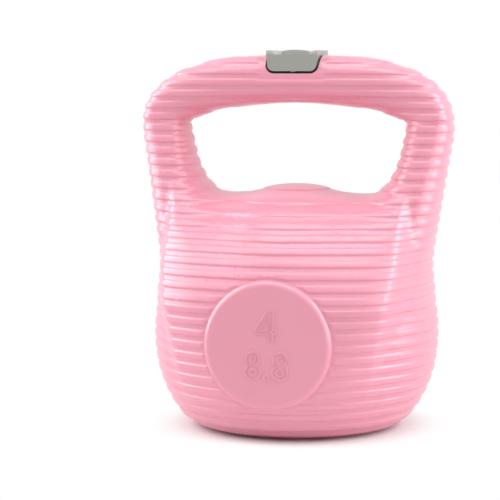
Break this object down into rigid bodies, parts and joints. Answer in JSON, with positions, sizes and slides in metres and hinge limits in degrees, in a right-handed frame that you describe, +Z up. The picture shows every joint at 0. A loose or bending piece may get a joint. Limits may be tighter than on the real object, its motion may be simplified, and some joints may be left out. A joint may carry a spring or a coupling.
{
  "type": "kettlebell",
  "caption": "Ribbed soft-skinned kettlebell with a wide slim handle, flat base and a grey press-to-release cap on top of the grip bar.",
  "frame": {"origin": "centre of the flat base, on the surface it stands on", "axes": "+X along the grip bar, -Y the front with the round badge, +Z up"},
  "size_m": [0.2, 0.177, 0.2384],
  "materials": {
    "skin": "satin",
    "core": "matte",
    "ballast": "matte",
    "pad": "matte",
    "liner": "matte",
    "seal": "matte",
    "cap": "satin",
    "button": "satin",
    "steel": "satin"
  },
  "bodies": {
    "kettlebell": {"body_skin": "skin", "core_front": "core", "core_rear": "core", "core_screws": "steel", "ballast_fill": "ballast", "base_pad": "pad", "pocket_liner": "liner", "liner_screws": "steel", "mouth_seal": "seal", "filler_stopper": "seal", "cap_gasket": "seal", "cap_cover": "cap", "cap_base": "cap", "cap_screws": "steel", "button_spring": "steel", "latch_springs": "steel"},
    "button": {"release_button": "button"},
    "left_latch": {"latch_left": "cap"},
    "right_latch": {"latch_right": "cap"}
  },
  "joints": [
    {"name": "button_press", "type": "slide", "parent": "kettlebell", "child": "button", "axis": [0, 0, -1], "range_m": [0, 0.0016], "stiffness_N_per_m": 900, "springref_m": -0.0004, "deforming": ["button_spring"]},
    {"name": "left_latch_slide", "type": "slide", "parent": "kettlebell", "child": "left_latch", "axis": [1, 0, 0], "range_m": [0, 0.0016], "deforming": ["latch_springs"]},
    {"name": "right_latch_slide", "type": "slide", "parent": "kettlebell", "child": "right_latch", "axis": [-1, 0, 0], "range_m": [0, 0.0016]}
  ],
  "couplings": [
    {"joint": "left_latch_slide", "follows": "button_press", "ratio": 1},
    {"joint": "right_latch_slide", "follows": "button_press", "ratio": 1}
  ]
}
